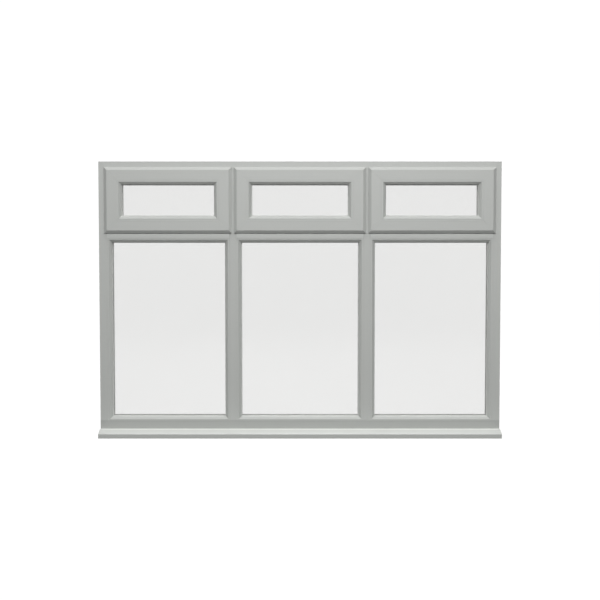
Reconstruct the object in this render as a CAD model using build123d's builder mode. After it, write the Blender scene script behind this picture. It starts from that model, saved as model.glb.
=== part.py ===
from build123d import *
import os
from typing import NamedTuple

# A three-bay casement window: three top-hung fanlights over three fixed lights, on a projecting
# sill. Millimetres, X along the window, Y from outside to inside, Z up. The origin is on the
# seat under the sill, at mid-length and at the middle of the frame's depth.

# Overall size
frame_width = 1800.0
frame_height = 1200.0
bay_count = 3
transom_drop = 325.0  # from the top of the frame to the transom's centreline

# Profile system
profile_depth = 70.0
outer_wall = 2.8
inner_web = 1.4
edge_round = 1.0
weld_groove = 0.4  # each edge of a welded mitre, so that two make a shallow V
frame_face = 36.0  # flat outer face of the frame, up to the rebate
bar_face = 32.0  # flat outer face of a mullion or transom
upstand_height = 20.0  # inner leg of the rebate, above its floor
upstand_thickness = 13.0
front_chamber = 17.5  # from the outer face to the first web
back_chamber = 15.5  # from the inner face to the last web

# Opening sash
sash_lap = 11.0  # how far the sash covers the frame's outer face
sash_air_gap = 12.0  # hinge and lock channel between the sash and the rebate floor
sash_stile = 58.5  # flat outer face with its outer bevel, up to the glazing rebate
sash_bevel = 13.0
sash_bevel_fall = 10.0
lap_seal_gap = 3.0
back_seal_gap = 4.0
seal_width = 5.0
back_seal_inset = 1.5

# Sealed unit and glazing
pane = 4.0
cavity = 20.0
glass_edge_gap = 5.0  # room for the setting blocks between the glass and the rebate floor
gasket_gap = 3.0
gasket_show = 3.0  # rubber seen beyond the bead
back_gasket_show = 1.5
gasket_width = 7.0
gasket_bevel = 2.0
bead_bevel = 11.0
bead_wall = 1.6
bead_mitre_gap = 0.2
spacer_height = 6.5
spacer_edge_gap = 3.5
block_length = 100.0

# Sill
sill_projection = 72.0
sill_back_thickness = 7.7
sill_seat_height = 33.5
sill_ledge = 25.0  # level strip in front of the frame, before the slope
sill_nose_height = 19.5
sill_nose_round = 3.0
sill_web_pitch = 30.0
sill_back_height = 25.0
sill_joint = 0.3
drip_inset = 9.0
drip_width = 6.0
drip_depth = 5.0
end_cap = 3.0

# Handle
plate_length = 150.0
plate_width = 26.0
plate_thickness = 9.0
plate_bevel = 2.0
neck_radius = 9.0
neck_height = 16.0
lever_reach = 118.0
lever_width = 19.0
lever_thickness = 11.0
lever_tip_width = 15.0
lever_tip_thickness = 7.0
lever_bevel = 2.5

# Frame fixings
fixing_radius = 5.0
fixing_from_end = 150.0
fixing_rows = 4

# Levels that follow from the sizes above
unit_depth = pane + cavity + pane
upstand_front = profile_depth - upstand_thickness
bead_depth = upstand_front - gasket_gap - unit_depth - gasket_gap
glass_front = bead_depth + gasket_gap
glass_back = glass_front + unit_depth
sightline = upstand_height + back_gasket_show  # rebate floor to clear glass, on both faces
bead_width = sightline - gasket_show
bead_land = bead_width - bead_bevel  # flat part of the bead beside the frame's face
frame_front = -profile_depth / 2
sash_front = frame_front + upstand_front - back_seal_gap - profile_depth
lap_depth = frame_front - lap_seal_gap - sash_front
sash_body_start = sash_lap + sash_air_gap
bottom = sill_seat_height
top = bottom + frame_height
transom_level = top - transom_drop
bay_width = frame_width / bay_count


class Rect(NamedTuple):
    """An upright rectangle seen from outside."""

    left: float
    right: float
    low: float
    high: float

    def inset(self, amount):
        return Rect(self.left + amount, self.right - amount, self.low + amount, self.high - amount)

    def centre(self):
        return (self.left + self.right) / 2, (self.low + self.high) / 2

    def size(self):
        return self.right - self.left, self.high - self.low


def web_depths():
    return front_chamber, profile_depth - back_chamber


def save(piece, name):
    piece.part.label = name
    export_step(piece.part, f"parts/{name}.step")


def hollow_section(points, webs, rounded, wall=outer_wall):
    """A chambered extrusion seen on end: X runs from the outer edge inwards and Y from the
    outside face to the inside. Each web is (start, end, depth), a thin wall across the hollow,
    and the rounded points are the outline's softened corners."""
    with BuildSketch() as section:
        with BuildLine():
            Polyline(*points, close=True)
        make_face()
        offset(amount=-wall, kind=Kind.INTERSECTION, mode=Mode.SUBTRACT)
        for start, end, depth in webs:
            with Locations(((start + end) / 2, depth)):
                Rectangle(end - start, inner_web)
        soft = [Vector(*point) for point in rounded]
        fillet(section.vertices().filter_by(lambda corner: Vector(corner) in soft), edge_round)
    return section.sketch


def frame_section():
    tip = frame_face + upstand_height
    outline = [
        (0, 0),
        (frame_face, 0),
        (frame_face, upstand_front),
        (tip, upstand_front),
        (tip, profile_depth),
        (0, profile_depth),
    ]
    webs = [(outer_wall / 2, frame_face - outer_wall / 2, depth) for depth in web_depths()]
    return hollow_section(outline, webs, [outline[1], outline[4]])


def bar_section():
    """Mullion or transom, the same on both sides of its centreline."""
    half = bar_face / 2
    tip = half + upstand_height
    outline = [
        (-half, 0),
        (half, 0),
        (half, upstand_front),
        (tip, upstand_front),
        (tip, profile_depth),
        (-tip, profile_depth),
        (-tip, upstand_front),
        (-half, upstand_front),
    ]
    webs = [(outer_wall / 2 - half, half - outer_wall / 2, depth) for depth in web_depths()]
    return hollow_section(outline, webs, outline[:2] + outline[4:6])


def sash_section():
    tip = sash_stile + upstand_height
    outline = [
        (0, sash_bevel_fall),
        (sash_bevel, 0),
        (sash_stile, 0),
        (sash_stile, upstand_front),
        (tip, upstand_front),
        (tip, profile_depth),
        (sash_body_start, profile_depth),
        (sash_body_start, lap_depth),
        (0, lap_depth),
    ]
    inside = (sash_body_start + outer_wall / 2, sash_stile - outer_wall / 2)
    webs = [(*inside, depth) for depth in web_depths()]
    return hollow_section(outline, webs, [outline[1], outline[2], outline[5]])


def bead_section():
    outline = [
        (0, 0),
        (bead_land, 0),
        (bead_width, bead_bevel),
        (bead_width, bead_depth),
        (0, bead_depth),
    ]
    return hollow_section(outline, [], [outline[2]], bead_wall)


def side_planes(rect, face):
    """The four sides of a rectangle as planes: X points inwards, Y towards the inside of the
    room and Z along the side, with the side's length."""
    centre_x, centre_z = rect.centre()
    width, height = rect.size()
    sides = {
        "bottom": (Vector(centre_x, face, rect.low), Vector(0, 0, 1), width),
        "top": (Vector(centre_x, face, rect.high), Vector(0, 0, -1), width),
        "left": (Vector(rect.left, face, centre_z), Vector(1, 0, 0), height),
        "right": (Vector(rect.right, face, centre_z), Vector(-1, 0, 0), height),
    }
    return {
        name: (Plane(spot, x_dir=inwards, z_dir=inwards.cross(Vector(0, 1, 0))), length)
        for name, (spot, inwards, length) in sides.items()
    }


def mitred_bar(section, plane, length, gap=0.0, groove=0.0):
    """One side of a rectangle, cut at 45 degrees where it meets its neighbours. A groove bevels
    the cuts' edges on the outer face. Half of the side is made and mirrored."""
    corner = plane.origin + plane.z_dir * (length / 2 - gap)
    across = plane.x_dir + plane.z_dir
    with BuildPart() as bar:
        with BuildSketch(plane):
            add(section)
        extrude(amount=length / 2)
        split(bisect_by=Plane(corner, x_dir=plane.y_dir, z_dir=across), keep=Keep.BOTTOM)
        if groove:
            rim = bar.faces().sort_by(Axis(corner, across))[-1].outer_wire()
            chamfer(rim.edges().group_by(Axis.Y)[0], groove)
        mirror(about=plane)
    return bar


def coped_bar(section, plane, length):
    """A straight bar between two rebate floors, its inner legs cut back to pass the upstands."""
    with BuildPart() as bar:
        with BuildSketch(plane):
            add(section)
        extrude(amount=length / 2, both=True)
        for way in (-1, 1):
            depth = (upstand_front + profile_depth) / 2
            along = way * (length - upstand_height) / 2
            spot = plane.origin + plane.y_dir * depth + plane.z_dir * along
            with Locations(Plane(spot, x_dir=plane.x_dir, z_dir=plane.z_dir)):
                Box(
                    bar_face + 2 * upstand_height,
                    upstand_thickness,
                    upstand_height,
                    mode=Mode.SUBTRACT,
                )
    return bar


def make_frame():
    section = frame_section()
    outer = Rect(-frame_width / 2, frame_width / 2, bottom, top)
    names = {
        "bottom": "frame_bottom_rail",
        "top": "frame_head",
        "left": "frame_left_jamb",
        "right": "frame_right_jamb",
    }
    for side, (plane, length) in side_planes(outer, frame_front).items():
        member = mitred_bar(section, plane, length, groove=weld_groove)
        if side in ("left", "right"):
            member = drilled_jamb(member, plane)
        save(member, names[side])


def drilled_jamb(bar, plane):
    """Frame-anchor holes in a row up the jamb, hidden behind the glass and the sash."""
    spacing = (frame_height - 2 * fixing_from_end) / (fixing_rows - 1)
    spot = plane.origin + Vector(0, profile_depth / 2, 0)
    with BuildPart() as jamb:
        add(bar.part)
        with Locations(Plane(spot, x_dir=(0, 0, 1), z_dir=-plane.x_dir)):
            with GridLocations(spacing, 0, fixing_rows, 1):
                Hole(fixing_radius, depth=frame_face)
    return jamb


def divider_lines():
    """Centrelines of the mullions, from left to right."""
    return [-frame_width / 2 + bay_width * number for number in range(1, bay_count)]


def bay_edges():
    """Left and right rebate floors of each bay."""
    half = bar_face / 2
    lines = divider_lines()
    lefts = [-frame_width / 2 + frame_face] + [line + half for line in lines]
    rights = [line - half for line in lines] + [frame_width / 2 - frame_face]
    return list(zip(lefts, rights))


def make_dividers():
    section = bar_section()
    floor_low = bottom + frame_face
    floor_high = top - frame_face
    for name, line in zip(("left_mullion", "right_mullion"), divider_lines()):
        spot = Vector(line, frame_front, (floor_low + floor_high) / 2)
        plane = Plane(spot, x_dir=(1, 0, 0), z_dir=(0, 0, 1))
        save(coped_bar(section, plane, floor_high - floor_low), name)
    for name, (left, right) in zip(bay_names, bay_edges()):
        spot = Vector((left + right) / 2, frame_front, transom_level)
        plane = Plane(spot, x_dir=(0, 0, -1), z_dir=(1, 0, 0))
        save(coped_bar(section, plane, right - left), f"{name}_transom")


def fixed_openings():
    low = bottom + frame_face
    high = transom_level - bar_face / 2
    return [Rect(left, right, low, high) for left, right in bay_edges()]


def sash_outlines():
    low = transom_level + bar_face / 2
    high = top - frame_face
    return [Rect(left, right, low, high).inset(-sash_lap) for left, right in bay_edges()]


def make_sash(name, outline):
    section = sash_section()
    names = {"bottom": "bottom_rail", "top": "top_rail", "left": "left_stile", "right": "right_stile"}
    for side, (plane, length) in side_planes(outline, sash_front).items():
        member = mitred_bar(section, plane, length, groove=weld_groove)
        save(member, f"{name}_sash_{names[side]}")


def make_beads(name, opening, face):
    section = bead_section()
    bars = [mitred_bar(section, *side, bead_mitre_gap) for side in side_planes(opening, face).values()]
    with BuildPart() as beads:
        for bar in bars:
            add(bar.part)
    save(beads, f"{name}_beads")


def upright_plane(depth):
    """A plane facing outside, X to the right and Y up, at this depth."""
    return Plane((0, depth, 0), x_dir=(1, 0, 0), z_dir=(0, -1, 0))


def make_glass(name, opening, face):
    glass = opening.inset(glass_edge_gap)
    with BuildPart() as unit:
        for front in (glass_front, glass_back - pane):
            with BuildSketch(upright_plane(face + front)):
                with Locations(glass.centre()):
                    Rectangle(*glass.size())
            extrude(amount=-pane)
    save(unit, f"{name}_glass")


def ring(outer, width, front, thickness):
    """A flat rectangular ring that lies this far in and is this thick towards the inside."""
    with BuildPart() as loop:
        with BuildSketch(upright_plane(front)):
            with Locations(outer.centre()):
                Rectangle(*outer.size())
                Rectangle(*outer.inset(width).size(), mode=Mode.SUBTRACT)
        extrude(amount=-thickness)
    return loop.part


def gasket(outer, front, visible):
    """A rubber ring whose inner edge is bevelled on its visible face, 0 outside or -1 inside."""
    with BuildPart() as rubber:
        add(ring(outer, gasket_width, front, gasket_gap))
        face = rubber.faces().sort_by(Axis.Y)[visible]
        chamfer(face.inner_wires().edges(), gasket_bevel)
    return rubber.part


def gather(loops, name):
    with BuildPart() as group:
        for loop in loops:
            add(loop)
    save(group, name)


def make_glazing_rings(lights):
    """Gaskets on both sides of every sealed unit, and the spacer bar between its panes."""
    spacers, outer_gaskets, inner_gaskets = [], [], []
    gasket_start = sightline - gasket_width
    spacer_start = glass_edge_gap + spacer_edge_gap
    for opening, face in lights:
        outer_gaskets.append(gasket(opening.inset(gasket_start), face + bead_depth, 0))
        inner_gaskets.append(gasket(opening.inset(gasket_start), face + glass_back, -1))
        spacers.append(
            ring(opening.inset(spacer_start), spacer_height, face + glass_front + pane, cavity)
        )
    gather(outer_gaskets, "outer_glazing_gaskets")
    gather(inner_gaskets, "inner_glazing_gaskets")
    gather(spacers, "spacer_bars")


def make_setting_blocks(lights):
    """Two blocks under each sealed unit carry its weight to the rebate floor."""
    with BuildPart() as blocks:
        for opening, face in lights:
            middle, _ = opening.centre()
            width, _ = opening.size()
            spots = [
                (middle + way * width / 4, face + (glass_front + glass_back) / 2, opening.low)
                for way in (-1, 1)
            ]
            with Locations(*spots):
                Box(
                    block_length,
                    unit_depth,
                    glass_edge_gap,
                    align=(Align.CENTER, Align.CENTER, Align.MIN),
                )
    save(blocks, "setting_blocks")


def make_weatherseals(outlines):
    """One seal closes on the frame's face under the lap, the other on the rebate's upstand."""
    lap_start = (sash_lap - seal_width) / 2
    back_start = sash_body_start + back_seal_inset
    loops = []
    for outline in outlines:
        loops.append(ring(outline.inset(lap_start), seal_width, frame_front - lap_seal_gap, lap_seal_gap))
        back = sash_front + profile_depth
        loops.append(ring(outline.inset(back_start), seal_width, back, back_seal_gap))
    gather(loops, "sash_weatherseals")


def sill_outline():
    """The sill on end, from the nose's foot round to the back, X as depth and Y as height."""
    nose = frame_front - sill_projection
    seat_back = frame_front + profile_depth + sill_joint
    back = seat_back + sill_back_thickness
    drip = nose + drip_inset
    points = [
        (nose, 0),
        (nose, sill_nose_height),
        (frame_front - sill_ledge, sill_seat_height),
        (seat_back, sill_seat_height),
        (seat_back, sill_seat_height + sill_back_height),
        (back, sill_seat_height + sill_back_height),
        (back, 0),
        (drip + drip_width, 0),
        (drip + drip_width, drip_depth),
        (drip, drip_depth),
        (drip, 0),
    ]
    with BuildSketch() as outline:
        with BuildLine():
            Polyline(*points, close=True)
        make_face()
        nose_top = outline.vertices().filter_by(lambda corner: Vector(corner) == Vector(*points[1]))
        fillet(nose_top, sill_nose_round)
    return outline.sketch


def end_plane(x):
    """A plane across the window's length, X towards the inside and Y up."""
    return Plane((x, 0, 0), x_dir=(0, 1, 0), z_dir=(1, 0, 0))


def make_sill():
    """A chambered sill, with upright webs from its foot to its slope and its seat."""
    outline = sill_outline()
    box = outline.bounding_box()
    with BuildPart() as sill:
        with BuildSketch(end_plane(0)):
            add(outline)
            offset(amount=-outer_wall, kind=Kind.INTERSECTION, mode=Mode.SUBTRACT)
            for number in range(1, int(box.size.X / sill_web_pitch)):
                with Locations((box.min.X + number * sill_web_pitch, 0)):
                    Rectangle(inner_web, box.size.Y, align=(Align.CENTER, Align.MIN))
            add(outline, mode=Mode.INTERSECT)
        extrude(amount=frame_width / 2 - end_cap, both=True)
    save(sill, "sill")


def make_end_caps():
    for name, way in (("left", -1), ("right", 1)):
        with BuildPart() as cap:
            with BuildSketch(end_plane(way * (frame_width / 2 - end_cap))):
                add(sill_outline())
            extrude(amount=way * end_cap)
        save(cap, f"{name}_sill_end_cap")


def make_handles(outlines):
    """A base plate with a turning lever on the bottom rail of each sash, lever closed."""
    back = sash_front + profile_depth
    plates, levers = [], []
    for outline in outlines:
        middle, _ = outline.centre()
        level = outline.low + (sash_body_start + sash_stile + upstand_height) / 2
        plates.append(handle_plate((middle, level), back))
        levers.append(handle_lever((middle, level), back + plate_thickness))
    gather(plates, "handle_plates")
    gather(levers, "handle_levers")


def handle_plate(spot, back):
    with BuildPart() as plate:
        with BuildSketch(upright_plane(back)):
            with Locations(spot):
                SlotOverall(plate_length, plate_width)
        extrude(amount=-plate_thickness)
        chamfer(plate.faces().sort_by(Axis.Y)[-1].edges(), plate_bevel)
    return plate.part


def handle_lever(spot, back):
    """A round neck and a lever that runs to the right and gets narrower and thinner to its tip:
    its outline from the front, cut from a wedge drawn from above."""
    x, z = spot
    tip = x + lever_reach
    far = back + neck_height
    with BuildPart() as lever:
        with BuildSketch(upright_plane(far)):
            with BuildLine():
                upper = Line((x, z + lever_width / 2), (tip, z + lever_tip_width / 2))
                lower = Line((x, z - lever_width / 2), (tip, z - lever_tip_width / 2))
                ThreePointArc(upper @ 0, (x - lever_width / 2, z), lower @ 0)
                ThreePointArc(upper @ 1, (tip + lever_tip_width / 2, z), lower @ 1)
            make_face()
        extrude(amount=-lever_thickness)
        with BuildSketch():
            with BuildLine():
                Polyline(
                    (x - lever_width, far),
                    (x - lever_width, far + lever_thickness),
                    (x + neck_radius, far + lever_thickness),
                    (tip + lever_width, far + lever_tip_thickness),
                    (tip + lever_width, far),
                    close=True,
                )
            make_face()
        extrude(amount=top, mode=Mode.INTERSECT)
        outer_edges = lever.edges().filter_by(lambda edge: edge.center().Y > far + lever_tip_thickness / 2)
        chamfer(outer_edges.filter_by(Axis.Z, reverse=True), lever_bevel)
        with BuildSketch(upright_plane(back)):
            with Locations(spot):
                Circle(neck_radius)
        extrude(amount=-(neck_height + lever_thickness / 2))
    return lever.part


os.makedirs("parts", exist_ok=True)
bay_names = ("left", "centre", "right")

make_frame()
make_dividers()
lights = []
for bay, opening in zip(bay_names, fixed_openings()):
    lights.append((f"{bay}_fixed", opening, frame_front))
for bay, outline in zip(bay_names, sash_outlines()):
    make_sash(bay, outline)
    lights.append((f"{bay}_sash", outline.inset(sash_stile), sash_front))
for name, opening, face in lights:
    make_beads(name, opening, face)
    make_glass(name, opening, face)
openings = [(opening, face) for _, opening, face in lights]
make_glazing_rings(openings)
make_setting_blocks(openings)
make_weatherseals(sash_outlines())
make_sill()
make_end_caps()
make_handles(sash_outlines())
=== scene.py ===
import math

import bpy
import numpy as np
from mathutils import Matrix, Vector


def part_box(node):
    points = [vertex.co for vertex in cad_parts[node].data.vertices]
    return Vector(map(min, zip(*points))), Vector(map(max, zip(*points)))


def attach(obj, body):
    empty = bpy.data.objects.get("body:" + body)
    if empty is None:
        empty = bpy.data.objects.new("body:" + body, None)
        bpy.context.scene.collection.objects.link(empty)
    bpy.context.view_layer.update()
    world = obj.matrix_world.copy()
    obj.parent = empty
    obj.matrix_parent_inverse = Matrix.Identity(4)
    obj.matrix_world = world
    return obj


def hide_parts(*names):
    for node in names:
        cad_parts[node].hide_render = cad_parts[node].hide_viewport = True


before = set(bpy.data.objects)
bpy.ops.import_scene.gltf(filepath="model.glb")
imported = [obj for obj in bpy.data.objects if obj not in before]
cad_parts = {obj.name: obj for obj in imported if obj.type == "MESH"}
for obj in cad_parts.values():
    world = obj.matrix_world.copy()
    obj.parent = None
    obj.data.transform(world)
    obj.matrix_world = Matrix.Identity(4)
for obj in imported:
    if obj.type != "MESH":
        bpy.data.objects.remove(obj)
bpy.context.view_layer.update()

bl_info = {
    "name": "Casement Window Finish",
    "version": (1, 0, 0),
    "blender": (4, 5, 0),
    "location": "3D View > Sidebar > Window",
    "description": "Finishes a three-bay casement window: foil, glass, rubber, metal and studio",
    "category": "Object",
}

BODY = "root"
MM = 0.001
BAYS = ("left", "centre", "right")
LIGHTS = [f"{bay}_{kind}" for kind in ("fixed", "sash") for bay in BAYS]

# Words in the names of the plastic members, by the way their foil is drawn
RAIL_WORDS = ("head", "rail", "sill", "beads")  # along X
STILE_WORDS = ("jamb", "mullion", "stile")  # up Z

# Sections of the CAD parts that the added pieces join. For a light, u runs inwards from the edge
# of its rebate and v inwards from the outer face of its beads. For a sash, they run from its edge
# and its outer face.
BEAD_EDGE = 18.5 * MM  # u where a bead ends
SIGHT_EDGE = 21.5 * MM  # u where the clear glass begins
BEAD_BACK = 23 * MM  # v
GLASS_FRONT = 26 * MM  # v
CAVITY = (30 * MM, 50 * MM)  # v of the two panes' inner faces
UNIT_MIDDLE = 40 * MM  # v
SPACER_TOP = 15 * MM  # u
LAP_SEAL_SEAT = (5.5 * MM, 14 * MM)  # on the back of a sash's lap
BACK_SEAL_SEAT = (27 * MM, 70 * MM)  # on the back of a sash

SMOOTH_ANGLE = math.radians(40)

# Studio, in metres: place, width and height of each softbox
SOFTBOXES = {
    "key": ((0.2, -5.3, 3.0), 1.8, 1.2),
    "top": ((0.0, -1.5, 7.0), 4.0, 3.0),
    "back": ((0.0, 4.0, 3.2), 1.8, 1.2),
}
WINDOW_MIDDLE = (0.0, 0.0, 0.6)
PICTURE_PIXELS = 600.0
SENSOR_WIDTH = 36.0


# Shader sums


class Socket:
    """A node's output that takes part in sums: each sum adds one Math node."""

    def __init__(self, recipe, link):
        self.recipe = recipe
        self.link = link

    def _sum(self, operation, first, second):
        return self.recipe.node("Math", {"operation": operation}, {0: first, 1: second})

    def __add__(self, other):
        return self._sum("ADD", self, other)

    def __sub__(self, other):
        return self._sum("SUBTRACT", self, other)

    def __mul__(self, other):
        return self._sum("MULTIPLY", self, other)

    def __rsub__(self, other):
        return self._sum("SUBTRACT", other, self)

    __radd__ = __add__
    __rmul__ = __mul__


class Recipe:
    """A material or world made from scratch, node by node."""

    def __init__(self, owner):
        owner.use_nodes = True
        self.tree = owner.node_tree
        self.tree.nodes.clear()

    def node(self, kind, settings=None, values=None, out=0):
        """Adds a node of this type, sets its settings, then its sockets, and gives an output."""
        made = self.tree.nodes.new(f"ShaderNode{kind}")
        for key, value in (settings or {}).items():
            setattr(made, key, value)
        for key, value in (values or {}).items():
            if isinstance(value, Socket):
                self.tree.links.new(value.link, made.inputs[key])
            else:
                made.inputs[key].default_value = value
        return Socket(self, made.outputs[out]) if made.outputs else made

    def place(self, scale=(1.0, 1.0, 1.0)):
        """Object coordinates, stretched."""
        spot = self.node("TexCoord", out="Object")
        return self.node("Mapping", {}, {"Vector": spot, "Scale": scale})

    def spot(self, axis):
        """Object coordinate along an axis."""
        return self.node("SeparateXYZ", {}, {0: self.node("TexCoord", out="Object")}, out=axis)

    def facing(self, axis):
        """How far the surface looks along an axis, from -1 to 1."""
        return self.node("SeparateXYZ", {}, {0: self.node("NewGeometry", out="Normal")}, out=axis)

    def noise(self, spot, scale, detail=3.0, roughness=0.5):
        settings = {"noise_dimensions": "3D"}
        values = {"Vector": spot, "Scale": scale, "Detail": detail, "Roughness": roughness}
        return self.node("TexNoise", settings, values)

    def ramp(self, value, low, high):
        """0 below the low mark, 1 above the high one and a smooth rise between them."""
        settings = {"interpolation_type": "SMOOTHSTEP"}
        return self.node("MapRange", settings, {"Value": value, "From Min": low, "From Max": high})

    def band(self, value, low, high, edge):
        """1 between the two marks and 0 outside them, with smooth edges inside the marks."""
        return self.ramp(value, low, low + edge) - self.ramp(value, high - edge, high)

    def blend(self, amount, first, second):
        """Mix of two colours."""
        return self.node("Mix", {"data_type": "RGBA"}, {0: amount, 6: first, 7: second}, out=2)

    def scaled(self, colour, factor):
        """A colour made lighter or darker by a factor that changes over the surface."""
        return self.node("VectorMath", {"operation": "SCALE"}, {0: colour, "Scale": factor})

    def bump(self, height, distance):
        return self.node("Bump", {}, {"Height": height, "Distance": distance})

    def finish(self, surface):
        self.node("OutputMaterial", {}, {"Surface": surface})

    def finish_solid(self, values):
        """Ends the material with one surface that lets no light through."""
        self.finish(self.node("BsdfPrincipled", {}, values))


def material(name):
    made = bpy.data.materials.new(name)
    return made, Recipe(made)


def rgb(colour, factor=1.0):
    """A colour as four numbers, made lighter or darker."""
    return (*(channel * factor for channel in colour[:3]), 1.0)


# Settings that a user would change


class WindowSizes(bpy.types.PropertyGroup):
    spacer_height: bpy.props.FloatProperty(
        name="Spacer height",
        description="Height of the spacer bars between the panes",
        unit="LENGTH",
        default=6.5 * MM,
    )
    gasket_width: bpy.props.FloatProperty(
        name="Gasket width",
        description="From the gasket's foot under the bead to the edge of its lip",
        unit="LENGTH",
        default=7 * MM,
    )
    lap_seal_width: bpy.props.FloatProperty(
        name="Lap seal width",
        description="Width of the half-round seal behind a sash's lap",
        unit="LENGTH",
        default=5 * MM,
    )
    lap_seal_height: bpy.props.FloatProperty(
        name="Lap seal height",
        description="How far the lap seal stands out, to the face of the frame",
        unit="LENGTH",
        default=3 * MM,
    )
    back_seal_width: bpy.props.FloatProperty(
        name="Back seal width",
        description="Width of the half-round seal at the back of a sash",
        unit="LENGTH",
        default=5 * MM,
    )
    back_seal_height: bpy.props.FloatProperty(
        name="Back seal height",
        description="How far the back seal stands out, towards the frame's upstand",
        unit="LENGTH",
        default=4 * MM,
    )
    screw_radius: bpy.props.FloatProperty(
        name="Screw radius",
        description="Radius of the heads of a handle's screws",
        unit="LENGTH",
        default=4.2 * MM,
    )
    screw_height: bpy.props.FloatProperty(
        name="Screw height",
        description="How far a screw's head stands out of the handle's plate",
        unit="LENGTH",
        default=1.6 * MM,
    )
    screw_spread: bpy.props.FloatProperty(
        name="Screw spread",
        description="Between the two screws of a handle",
        unit="LENGTH",
        default=124 * MM,
    )


class WindowColours(bpy.types.PropertyGroup):
    foil: bpy.props.FloatVectorProperty(
        name="Foil",
        description="Colour of the foiled frame, sashes, beads and sill",
        subtype="COLOR",
        size=3,
        min=0.0,
        max=1.0,
        default=(0.475, 0.488, 0.469),
    )
    gasket: bpy.props.FloatVectorProperty(
        name="Gasket",
        description="Colour of the glazing gaskets",
        subtype="COLOR",
        size=3,
        min=0.0,
        max=1.0,
        default=(0.56, 0.57, 0.55),
    )
    seal: bpy.props.FloatVectorProperty(
        name="Weatherseal",
        description="Colour of the seals between sash and frame",
        subtype="COLOR",
        size=3,
        min=0.0,
        max=1.0,
        default=(0.03, 0.03, 0.032),
    )
    handle: bpy.props.FloatVectorProperty(
        name="Handle",
        description="Colour of the handles' metal",
        subtype="COLOR",
        size=3,
        min=0.0,
        max=1.0,
        default=(0.62, 0.61, 0.59),
    )
    screw: bpy.props.FloatVectorProperty(
        name="Screw",
        description="Colour of the handles' screws",
        subtype="COLOR",
        size=3,
        min=0.0,
        max=1.0,
        default=(0.55, 0.55, 0.56),
    )
    glass_clear: bpy.props.FloatProperty(
        name="Glass clearness",
        description="Share of light that one glass surface lets through",
        subtype="FACTOR",
        min=0.5,
        max=1.0,
        default=0.936,
    )


class WindowStudio(bpy.types.PropertyGroup):
    camera_distance: bpy.props.FloatProperty(
        name="Camera distance",
        description="From the frame's outer face to the camera",
        unit="LENGTH",
        default=5.378,
    )
    camera_height: bpy.props.FloatProperty(
        name="Camera height",
        description="Above the foot of the sill",
        unit="LENGTH",
        default=0.9135,
    )
    camera_pitch: bpy.props.FloatProperty(
        name="Camera pitch",
        description="How far the camera looks down",
        unit="ROTATION",
        default=math.radians(3.18),
    )
    focal_pixels: bpy.props.FloatProperty(
        name="Focal length in pixels",
        description="For a picture 600 pixels wide",
        default=1200.0,
    )
    sky: bpy.props.FloatProperty(
        name="Sky",
        description="Brightness of the soft light from above",
        default=0.25,
    )
    key_power: bpy.props.FloatProperty(
        name="Key power",
        description="Watts of the large softbox in front",
        default=212.0,
    )
    top_power: bpy.props.FloatProperty(
        name="Top power",
        description="Watts of the softbox high above",
        default=180.0,
    )
    back_power: bpy.props.FloatProperty(
        name="Back power",
        description="Watts of the softbox behind",
        default=170.0,
    )


def sizes():
    return bpy.context.scene.window_sizes


def colours():
    return bpy.context.scene.window_colours


def studio():
    return bpy.context.scene.window_studio


# Finishes


def painted_light_under_sash(recipe):
    """Tone of a transom: painted light makes its outer face a little paler, most close under the
    sash, where the sash above casts its shadow."""
    outward = recipe.ramp(0.0 - recipe.facing("Y"), 0.95, 0.99)
    foot = outline("left")[2]
    close = recipe.ramp(recipe.spot("Z"), foot - 8 * MM, foot)
    return outward * (close * 0.5 + 0.14) + 1.0


def painted_shade_facing_down(recipe):
    """Tone of a sash's bottom rail: painted shade makes it deeper where it looks down."""
    return 1.0 - recipe.ramp(0.0 - recipe.facing("Z"), 0.4, 0.55) * 0.15


def foil_finish(name, along, painted_light_tone=None):
    """Matt grey foil: a fine pebble, and faint streaks that run along the member, X or Z. Painted
    light makes the level faces below the head's top lighter, with a faint random mottle, most on
    the ledge in front of the frame, where the frame shades it, and painted shade makes the foot of
    the frame deeper.
    A tone of painted light and shade scales the tone of one kind of member."""
    made, recipe = material(name)
    across, lengthwise = 240.0, 5.0
    stretch = {"X": (lengthwise, across, across), "Z": (across, across, lengthwise)}[along]
    pebble = recipe.noise(recipe.place(), 1100.0, 2.0, 0.65)
    streak = recipe.noise(recipe.place(stretch), 1.0, 4.0, 0.6)
    cloud = recipe.noise(recipe.place(), 2.2, 2.0)
    foil = colours().foil
    drawn = recipe.blend(streak, rgb(foil, 0.95), rgb(foil, 1.05))
    tone = recipe.blend(recipe.ramp(pebble, 0.35, 0.75) * 0.5, rgb(foil, 0.97), drawn)
    level = recipe.ramp(recipe.facing("Z"), 0.85, 0.93)
    below_head = 1.0 - recipe.ramp(recipe.spot("Z"), 1.190, 1.200)
    # Painted light: level faces below the head's top are made lighter, with a faint random mottle.
    level_painted_light = level * (cloud * 0.2 + 0.9) * below_head
    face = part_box("frame_head")[0].y
    # Painted light: the ledge against the frame's face, which the frame shades, is made lighter
    # still.
    ledge = recipe.band(recipe.spot("Y"), face - 26.5 * MM, face + 3 * MM, 3 * MM)
    level_light_colour = recipe.scaled(tuple(foil), ledge * 0.33 + 1.37)
    tone_with_level_light = recipe.blend(level_painted_light, recipe.blend(0.5, tone, drawn), level_light_colour)
    # Painted shade: the foot of the frame just above the sill is made darker, against the light
    # the sill throws up.
    painted_shade_at_foot = recipe.band(recipe.spot("Z"), 30 * MM, 75 * MM, 6 * MM)
    tone_with_painted_light = recipe.blend(painted_shade_at_foot * (1.0 - level_painted_light), tone_with_level_light, rgb(foil, 0.80))
    # The member's tone of painted light and shade scales the colour here: paler transoms, deeper
    # sash feet.
    if painted_light_tone:
        tone_with_painted_light = recipe.scaled(tone_with_painted_light, painted_light_tone(recipe))
    recipe.finish_solid({
        "Base Color": tone_with_painted_light,
        "Roughness": pebble * 0.16 + streak * 0.06 + 0.36,
        "Normal": recipe.bump(pebble * 0.8 + streak * 0.2, 0.25 * MM),
        "IOR": 1.5,
    })
    return made


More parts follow.
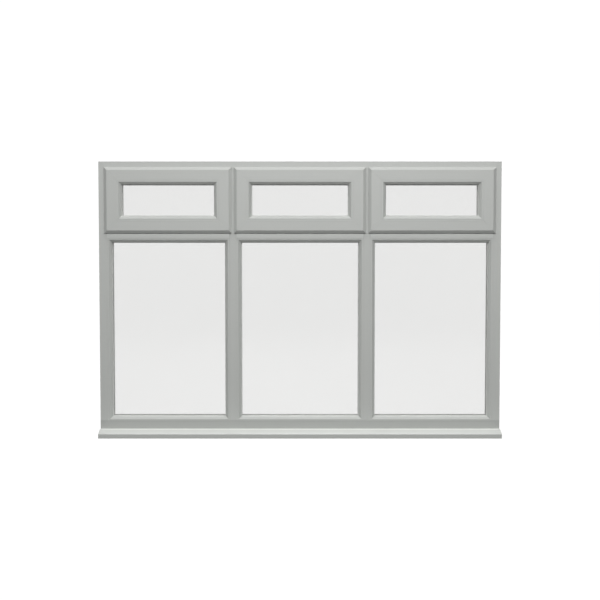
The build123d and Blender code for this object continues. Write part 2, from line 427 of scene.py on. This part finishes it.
def glass_finish():
    """Clear float glass: mirror-like by its angle, the rest let through with a faint tint. Light
    that leaves the glass meets the surface from behind, with the inverse index."""
    made, recipe = material("clear_float_glass")
    clear, index = colours().glass_clear, 1.5
    tint = (clear, clear, clear * 0.998, 1.0)
    waviness = recipe.bump(recipe.noise(recipe.place(), 3.0, 1.0), 0.1 * MM)
    through = recipe.node("BsdfTransparent", {}, {"Color": tint})
    polish = {"Color": (1, 1, 1, 1), "Roughness": 0.0, "Normal": waviness}
    mirror = recipe.node("BsdfGlossy", {}, polish)
    behind = recipe.node("NewGeometry", out="Backfacing")
    share = recipe.node("Fresnel", {}, {"IOR": index - behind * (index - 1 / index)})
    recipe.finish(recipe.node("MixShader", {}, {0: share, 1: through, 2: mirror}))
    return made


def rubber_finish(name, colour, painted_light_by_facing=False):
    """Extruded rubber with a dull skin and a faint dust bloom. Painted light makes it lighter
    where it looks down, along the heads, and painted shade darker where it looks up, along the
    feet."""
    made, recipe = material(name)
    bloom = recipe.noise(recipe.place(), 60.0, 4.0, 0.6)
    tone = recipe.blend(bloom, rgb(colour, 0.85), rgb(colour, 1.2))
    if painted_light_by_facing:
        # Painted light on faces that look down, along the heads; painted shade on faces that look
        # up, along the feet.
        upward = recipe.facing("Z")
        painted_light_at_heads = recipe.ramp(0.0 - upward, 0.05, 0.3) * 0.6
        painted_shade_at_feet = recipe.ramp(upward, 0.05, 0.3) * 0.18
        tone = recipe.scaled(tone, painted_light_at_heads - painted_shade_at_feet + 1.0)
    recipe.finish_solid({
        "Base Color": tone,
        "Roughness": bloom * 0.2 + 0.55,
        "Normal": recipe.bump(recipe.noise(recipe.place(), 900.0, 2.0), 0.03 * MM),
        "IOR": 1.5,
    })
    return made


def metal_finish(name, colour, rough):
    """Brushed metal with its fine scratches along X."""
    made, recipe = material(name)
    scratch = recipe.noise(recipe.place((20.0, 1500.0, 1500.0)), 1.0, 2.0)
    recipe.finish_solid({
        "Base Color": recipe.blend(scratch, rgb(colour, 0.93), rgb(colour, 1.05)),
        "Metallic": 1.0,
        "Roughness": scratch * 0.15 + rough,
        "Normal": recipe.bump(scratch, 0.02 * MM),
    })
    return made


def spacer_finish():
    """Folded aluminium with rows of small breathing holes, on a lattice 4 mm apart along the bar
    and 5 mm across it."""
    made, recipe = material("spacer_aluminium")
    lattice = {"feature": "F1", "distance": "EUCLIDEAN"}
    cells = {"Vector": recipe.place((250.0, 200.0, 250.0)), "Scale": 1.0, "Randomness": 0.0}
    from_hole = recipe.node("TexVoronoi", lattice, cells, out="Distance")
    hole_colour, sheet_colour = (0.05, 0.05, 0.05, 1.0), (0.56, 0.57, 0.58, 1.0)
    roll = recipe.noise(recipe.place((8.0, 900.0, 8.0)), 1.0, 2.0)
    recipe.finish_solid({
        "Base Color": recipe.blend(recipe.ramp(from_hole, 0.16, 0.22), hole_colour, sheet_colour),
        "Metallic": 1.0,
        "Roughness": roll * 0.15 + 0.32,
        "Normal": recipe.bump(roll, 0.02 * MM),
    })
    return made


def packer_finish():
    """Moulded plastic of the setting blocks."""
    made, recipe = material("setting_block_plastic")
    grain = recipe.noise(recipe.place(), 400.0, 3.0)
    recipe.finish_solid({
        "Base Color": recipe.blend(grain, (0.05, 0.09, 0.22, 1.0), (0.06, 0.11, 0.27, 1.0)),
        "Roughness": grain * 0.2 + 0.4,
        "Normal": recipe.bump(grain, 0.04 * MM),
    })
    return made


def floor_finish():
    """White floor lit from within like a light table, with a very faint mottle."""
    made, recipe = material("studio_floor")
    mottle = recipe.noise(recipe.place(), 1.5, 3.0)
    white = (1.0, 1.0, 1.0, 1.0)
    recipe.finish_solid({
        "Base Color": recipe.blend(mottle, rgb(white, 0.018), rgb(white, 0.022)),
        "Roughness": 0.9,
        "Specular IOR Level": 0.1,
        "Emission Color": white,
        "Emission Strength": 1.01,
    })
    return made


def paint(piece, finish):
    """Puts one finish on every slot of a piece."""
    if not piece.data.materials:
        piece.data.materials.append(finish)
    for slot in piece.material_slots:
        slot.link = "OBJECT"
        slot.material = finish


# Shapes


def shell(name, points, faces):
    """A mesh object that rides on the window, smooth except where its faces turn sharply."""
    mesh = bpy.data.meshes.new(name)
    corners = faces.shape[-1]
    mesh.from_pydata(points.reshape(-1, 3).tolist(), [], faces.reshape(-1, corners).tolist())
    mesh.shade_smooth()
    mesh.set_sharp_from_angle(angle=SMOOTH_ANGLE)
    made = bpy.data.objects.new(name, mesh)
    bpy.context.scene.collection.objects.link(made)
    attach(made, BODY)
    return made


def opening(light):
    """Left, right, foot, top and outer face of the rebate that a light's beads fill."""
    low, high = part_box(f"{light}_beads")
    return low.x, high.x, low.z, high.z, low.y


def outline(bay):
    """Left, right, foot, top and outer face of a sash."""
    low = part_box(f"{bay}_sash_bottom_rail")[0]
    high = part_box(f"{bay}_sash_top_rail")[1]
    return low.x, high.x, low.z, high.z, low.y


def mitred_rings(name, frames, section):
    """A closed section carried round rectangles. Its points are u inwards from the rectangle's
    edge and v inwards from its face. At the corner with signs (s, t) a point lies at
    (middle_x + s (half_width - u), face + v, middle_z + t (half_height - u))."""
    count = len(section)
    u, v = np.array(section).T
    signs = np.array([(-1, -1), (-1, 1), (1, 1), (1, -1)])
    left, right, low, high, face = (side[:, None, None] for side in np.array(frames).T)
    across, up = signs[None, :, :1], signs[None, :, 1:]
    x = (left + right) / 2 + across * ((right - left) / 2 - u)
    z = (low + high) / 2 + up * ((high - low) / 2 - u)
    points = np.stack([x, np.broadcast_to(face + v, x.shape), z], -1)
    ring, corner, step = np.indices((len(frames), len(signs), count))
    here, after = corner * count, (corner + 1) % len(signs) * count
    next_step = (step + 1) % count
    base = ring * len(signs) * count
    faces = np.stack([here + step, here + next_step, after + next_step, after + step], -1)
    return shell(name, points, faces + base[..., None])


def arc(centre, radii, start, end, count=9):
    """Points on an ellipse between two angles in degrees: centre plus the radii times the angle's
    cosine and sine."""
    angle = np.radians(np.linspace(start, end, count))
    turns = np.stack([np.cos(angle), np.sin(angle)], -1)
    return (np.array(centre) + np.array(radii) * turns).tolist()


def half_round(seat, width, height):
    """Section of a seal that stands on a flat seat: half an ellipse."""
    return arc(seat, (width / 2, height), 0, 180, 13)


def spacer_section():
    """Section of a folded bar: chamfered at its foot, with a seam along the top."""
    front, back = CAVITY
    foot, chamfer = SPACER_TOP - sizes().spacer_height, 2 * MM
    seam_top, seam_foot, seam_depth = 1 * MM, 0.5 * MM, 0.6 * MM
    return [
        (foot + chamfer, front),
        (SPACER_TOP, front),
        (SPACER_TOP, UNIT_MIDDLE - seam_top),
        (SPACER_TOP - seam_depth, UNIT_MIDDLE - seam_foot),
        (SPACER_TOP - seam_depth, UNIT_MIDDLE + seam_foot),
        (SPACER_TOP, UNIT_MIDDLE + seam_top),
        (SPACER_TOP, back),
        (foot + chamfer, back),
        (foot, back - chamfer),
        (foot, front + chamfer),
    ]


def gasket_section():
    """Section of an outer gasket: a foot between bead and glass, a nick at the bead's edge, and a
    lip that is a quarter of an ellipse and ends on the glass."""
    foot, corner, nick = SIGHT_EDGE - sizes().gasket_width, 0.4 * MM, 0.5 * MM
    radii = (2.2 * MM, 2.0 * MM)
    middle = (SIGHT_EDGE - radii[0], GLASS_FRONT - 0.8 * MM)
    return [
        (foot, GLASS_FRONT),
        (foot, BEAD_BACK + corner),
        (foot + corner, BEAD_BACK),
        (BEAD_EDGE - 0.1 * MM, BEAD_BACK),
        (BEAD_EDGE + 0.2 * MM, BEAD_BACK + nick),
        (BEAD_EDGE + nick, BEAD_BACK + nick),
        *arc(middle, radii, -95, 0),
        (SIGHT_EDGE, GLASS_FRONT),
    ]


def screw_heads(name, centres, radius, height):
    """Raised oval heads with a cross recess. A square grid (a, b) from -1 to 1 becomes the disc
    (a sqrt(1 - b^2 / 2), b sqrt(1 - a^2 / 2)), and a point r out from the middle stands up by
    height (1 - r^2), less 0.9 height where |x| or |z| is under 0.16 and r is under 0.62. A flat
    copy of the disc closes each head, 0.2 height below its rim."""
    slot, slot_reach, slot_depth, sunk = 0.16, 0.62, 0.9, 0.2
    side = np.linspace(slot + 0.02, 1, 9)
    steps = np.concatenate([-side[::-1], [0.02 - slot, 0.0, slot - 0.02], side])
    a, b = np.meshgrid(steps, steps, indexing="ij")
    x, z = a * np.sqrt(1 - b**2 / 2), b * np.sqrt(1 - a**2 / 2)
    out = np.hypot(x, z)
    recess = (np.minimum(abs(x), abs(z)) < slot) & (out < slot_reach)
    crown = height * (1 - out**2 - slot_depth * recess)
    base = np.full_like(crown, -sunk * height)
    head = np.stack([np.stack([x * radius, up, z * radius], -1) for up in (crown, base)])
    points = np.array(centres)[:, None, None, None, :] + head
    size = len(steps)
    spot = np.arange(size * size).reshape(size, size)
    square = np.stack([spot[:-1, :-1], spot[:-1, 1:], spot[1:, 1:], spot[1:, :-1]], -1)
    square = square.reshape(-1, 4)
    rim = np.concatenate([spot[0, :-1], spot[:-1, -1], spot[-1, :0:-1], spot[:0:-1, 0]])
    after = np.roll(rim, -1)
    wall = np.stack([rim, rim + size * size, after + size * size, after], -1)
    item = np.concatenate([square, square[:, ::-1] + size * size, wall])
    copies = np.arange(len(centres))[:, None, None] * 2 * size * size
    return shell(name, points, item + copies)


# Operators


class WINDOW_OT_foil(bpy.types.Operator):
    """Gives the frame, mullions, transoms, sashes, beads and sill their foil"""

    bl_idname = "window.foil"
    bl_label = "Foil the plastic members"

    def execute(self, context):
        along = foil_finish("foil_grain_along", "X")
        upright = foil_finish("foil_grain_upright", "Z")
        # The transoms get painted light close under the sashes, where the sashes shade them.
        transom = foil_finish("foil_grain_transom", "X", painted_light_under_sash)
        # The sashes' bottom rails get painted shade where they look down.
        foot = foil_finish("foil_grain_sash_foot", "X", painted_shade_facing_down)
        kinds = [
            (STILE_WORDS, upright),
            (("transom",), transom),
            (("sash_bottom_rail",), foot),
            (RAIL_WORDS, along),
        ]
        members = 0
        for name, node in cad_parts.items():
            fitting = [finish for words, finish in kinds if any(word in name for word in words)]
            if fitting:
                paint(node, fitting[0])
                members += 1
        if not members:
            raise RuntimeError("no plastic member was found")
        return {"FINISHED"}


class WINDOW_OT_glass(bpy.types.Operator):
    """Gives the panes their clear float glass"""

    bl_idname = "window.glass"
    bl_label = "Glaze the lights"

    def execute(self, context):
        clear = glass_finish()
        for light in LIGHTS:
            paint(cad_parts[f"{light}_glass"], clear)
        return {"FINISHED"}


class WINDOW_OT_spacers(bpy.types.Operator):
    """Folds the spacer bars between the panes and finishes the setting blocks under them"""

    bl_idname = "window.spacers"
    bl_label = "Fold the spacer bars"

    def execute(self, context):
        openings = [opening(light) for light in LIGHTS]
        spacer = mitred_rings("perforated_spacers", openings, spacer_section())
        paint(spacer, spacer_finish())
        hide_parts("spacer_bars")
        paint(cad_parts["setting_blocks"], packer_finish())
        return {"FINISHED"}


class WINDOW_OT_seals(bpy.types.Operator):
    """Makes the glazing gaskets and the seals between sash and frame"""

    bl_idname = "window.seals"
    bl_label = "Fit the gaskets and seals"

    def execute(self, context):
        size, colour = sizes(), colours()
        inner_rubber = rubber_finish("gasket_rubber", colour.gasket)
        # The outer gaskets get painted light along their heads and painted shade along their feet.
        outer_rubber = rubber_finish("weathered_gasket_rubber", colour.gasket, True)
        dark_rubber = rubber_finish("weatherseal_rubber", colour.seal)
        openings = [opening(light) for light in LIGHTS]
        sashes = [outline(bay) for bay in BAYS]
        outer = gasket_section()
        inner = [(u, 2 * UNIT_MIDDLE - v) for u, v in reversed(outer)]
        lap = half_round(LAP_SEAL_SEAT, size.lap_seal_width, size.lap_seal_height)
        back = half_round(BACK_SEAL_SEAT, size.back_seal_width, size.back_seal_height)
        outer_gaskets = mitred_rings("rounded_outer_gaskets", openings, outer)
        inner_gaskets = mitred_rings("rounded_inner_gaskets", openings, inner)
        lap_seals = mitred_rings("lap_seals", sashes, lap)
        back_seals = mitred_rings("back_seals", sashes, back)
        for piece, rubber in (
            (outer_gaskets, outer_rubber),
            (inner_gaskets, inner_rubber),
            (lap_seals, dark_rubber),
            (back_seals, dark_rubber),
        ):
            paint(piece, rubber)
        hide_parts("outer_glazing_gaskets")
        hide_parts("inner_glazing_gaskets")
        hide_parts("sash_weatherseals")
        return {"FINISHED"}


class WINDOW_OT_handles(bpy.types.Operator):
    """Gives the handles their brushed metal and the plates their screws"""

    bl_idname = "window.handles"
    bl_label = "Finish the handles"

    def execute(self, context):
        size, colour = sizes(), colours()
        metal = metal_finish("handle_metal", colour.handle, 0.25)
        paint(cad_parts["handle_plates"], metal)
        paint(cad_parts["handle_levers"], metal)
        low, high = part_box("handle_plates")
        reach, level = size.screw_spread / 2, (low.z + high.z) / 2
        middles = [sum(outline(bay)[:2]) / 2 for bay in BAYS]
        spots = [(x + way * reach, high.y, level) for x in middles for way in (-1, 1)]
        screws = screw_heads("handle_screws", spots, size.screw_radius, size.screw_height)
        paint(screws, metal_finish("screw_metal", colour.screw, 0.3))
        return {"FINISHED"}


class WINDOW_OT_studio(bpy.types.Operator):
    """Lays the pale floor, hangs the lights and sets the camera at the photograph's angle"""

    bl_idname = "window.studio"
    bl_label = "Set up the studio"

    def execute(self, context):
        make_floor()
        make_sky()
        for name, box in SOFTBOXES.items():
            make_softbox(f"{name}_softbox", *box, getattr(studio(), f"{name}_power"))
        make_camera()
        return {"FINISHED"}


OPERATORS = (
    WINDOW_OT_foil,
    WINDOW_OT_glass,
    WINDOW_OT_spacers,
    WINDOW_OT_seals,
    WINDOW_OT_handles,
    WINDOW_OT_studio,
)


class WINDOW_PT_tools(bpy.types.Panel):
    """Lists the window's settings and operators in the sidebar"""

    bl_idname = "WINDOW_PT_tools"
    bl_label = "Casement window"
    bl_space_type = "VIEW_3D"
    bl_region_type = "UI"
    bl_category = "Window"

    def draw(self, context):
        for group in (sizes(), colours(), studio()):
            box = self.layout.box()
            for name in group.__annotations__:
                box.prop(group, name)
        for operator in OPERATORS:
            self.layout.operator(operator.bl_idname)


# Studio


def make_floor():
    """A flat disc, as rings of points at growing radius times the circle's cosine and sine."""
    rings, turns, reach = 12, 64, 80.0
    angle = np.linspace(0, 2 * np.pi, turns, endpoint=False)
    radius = reach * np.linspace(0.02, 1.0, rings) ** 2
    points = np.zeros((rings * turns + 1, 3))
    points[1:, 0] = np.outer(radius, np.cos(angle)).ravel()
    points[1:, 1] = np.outer(radius, np.sin(angle)).ravel()
    ring, turn = np.meshgrid(np.arange(rings - 1), np.arange(turns), indexing="ij")
    after = (turn + 1) % turns
    inner = ring * turns + 1
    outer = inner + turns
    quads = np.stack([inner + turn, outer + turn, outer + after, inner + after], -1)
    spin = np.arange(turns)
    fan = np.stack([np.zeros(turns, int), spin + 1, (spin + 1) % turns + 1], -1)
    mesh = bpy.data.meshes.new("studio_floor")
    mesh.from_pydata(points.tolist(), [], quads.reshape(-1, 4).tolist() + fan.tolist())
    floor = bpy.data.objects.new("studio_floor", mesh)
    bpy.context.scene.collection.objects.link(floor)
    paint(floor, floor_finish())
    floor.visible_diffuse = False


def make_sky():
    """Soft light from above. Mirror rays also meet a white horizon, and the camera sees plain
    white all round."""
    world = bpy.data.worlds.new("studio_sky")
    bpy.context.scene.world = world
    recipe = Recipe(world)
    way = recipe.node("TexCoord", out="Generated")
    height = recipe.node("SeparateXYZ", {}, {0: way}, out="Z")
    above = recipe.ramp(height, -0.03, 0.03) * studio().sky
    horizon = recipe.ramp(height, -0.04, -0.02) - recipe.ramp(height, 0.05, 0.12)
    mirrored = recipe.node("LightPath", out="Is Glossy Ray") * horizon
    seen = recipe.node("LightPath", out="Is Camera Ray")
    lit = above + mirrored * (1.0 - above)
    strength = lit + seen * (1.04 - lit)
    background = recipe.node("Background", {}, {"Color": (1, 1, 1, 1), "Strength": strength})
    recipe.node("OutputWorld", {}, {"Surface": background})


def make_softbox(name, place, width, height, watts):
    """A rectangular lamp, unseen by the camera, that points at the middle of the window."""
    light = bpy.data.lights.new(name, "AREA")
    light.shape = "RECTANGLE"
    light.size = width
    light.size_y = height
    light.energy = watts
    lamp = bpy.data.objects.new(name, light)
    lamp.location = place
    lamp.rotation_mode = "QUATERNION"
    lamp.rotation_quaternion = (Vector(WINDOW_MIDDLE) - Vector(place)).to_track_quat("-Z", "Y")
    lamp.visible_camera = False
    bpy.context.scene.collection.objects.link(lamp)


def make_camera():
    """The photograph's camera, with its focal length taken for a picture 600 pixels wide."""
    data = bpy.data.cameras.new("photo_camera")
    data.sensor_width = SENSOR_WIDTH
    data.lens = studio().focal_pixels / PICTURE_PIXELS * SENSOR_WIDTH
    camera = bpy.data.objects.new("photo_camera", data)
    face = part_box("frame_head")[0].y
    camera.location = (0.0, face - studio().camera_distance, studio().camera_height)
    camera.rotation_euler = (math.pi / 2 - studio().camera_pitch, 0.0, 0.0)
    bpy.context.scene.collection.objects.link(camera)
    bpy.context.scene.camera = camera
    bpy.context.scene.view_settings.view_transform = "Standard"


CLASSES = (WindowSizes, WindowColours, WindowStudio, *OPERATORS, WINDOW_PT_tools)


def register():
    for made in CLASSES:
        bpy.utils.register_class(made)
    bpy.types.Scene.window_sizes = bpy.props.PointerProperty(type=WindowSizes)
    bpy.types.Scene.window_colours = bpy.props.PointerProperty(type=WindowColours)
    bpy.types.Scene.window_studio = bpy.props.PointerProperty(type=WindowStudio)


def unregister():
    del bpy.types.Scene.window_sizes
    del bpy.types.Scene.window_colours
    del bpy.types.Scene.window_studio
    for made in reversed(CLASSES):
        bpy.utils.unregister_class(made)


def main():
    register()
    for operator in OPERATORS:
        group, name = operator.bl_idname.split(".")
        getattr(getattr(bpy.ops, group), name)()


if __name__ == "__main__":
    main()
